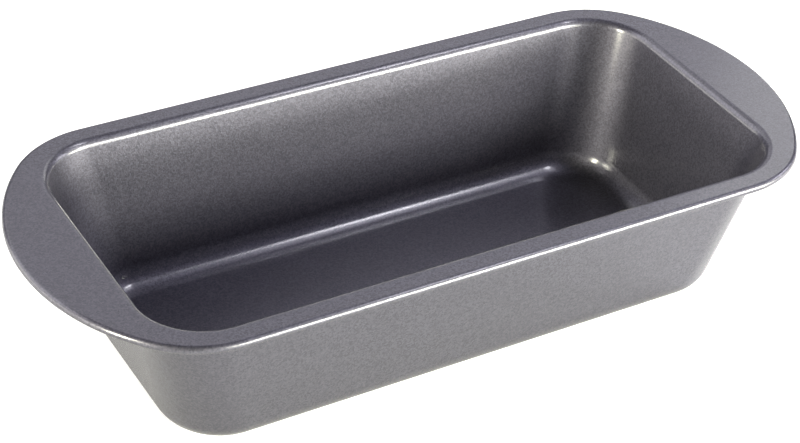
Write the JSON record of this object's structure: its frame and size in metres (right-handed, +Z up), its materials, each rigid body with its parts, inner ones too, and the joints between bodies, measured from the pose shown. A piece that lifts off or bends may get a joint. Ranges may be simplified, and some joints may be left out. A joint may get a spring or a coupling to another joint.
{
  "type": "loaf pan",
  "caption": "Non-stick steel loaf pan: a deep tub with rounded corners and leaning walls, and a flat curled rim that widens into arc-shaped end handles, for baking bread and cakes.",
  "frame": {"origin": "on the table, under the middle of the floor", "axes": "+X along the pan's length, +Y across it, +Z up out of the mouth"},
  "size_m": [0.2954, 0.134, 0.06],
  "materials": {
    "steel": "plain cold-rolled sheet, seen only at the raw edge inside the curl",
    "food_side_coat": "semi-matte non-stick resin with fine metallic flecks",
    "outside_coat": "semi-matte resin with fine metallic flecks"
  },
  "bodies": {
    "root": {"steel_body": "steel", "inner_coat": "food_side_coat", "outer_coat": "outside_coat"}
  },
  "joints": []
}
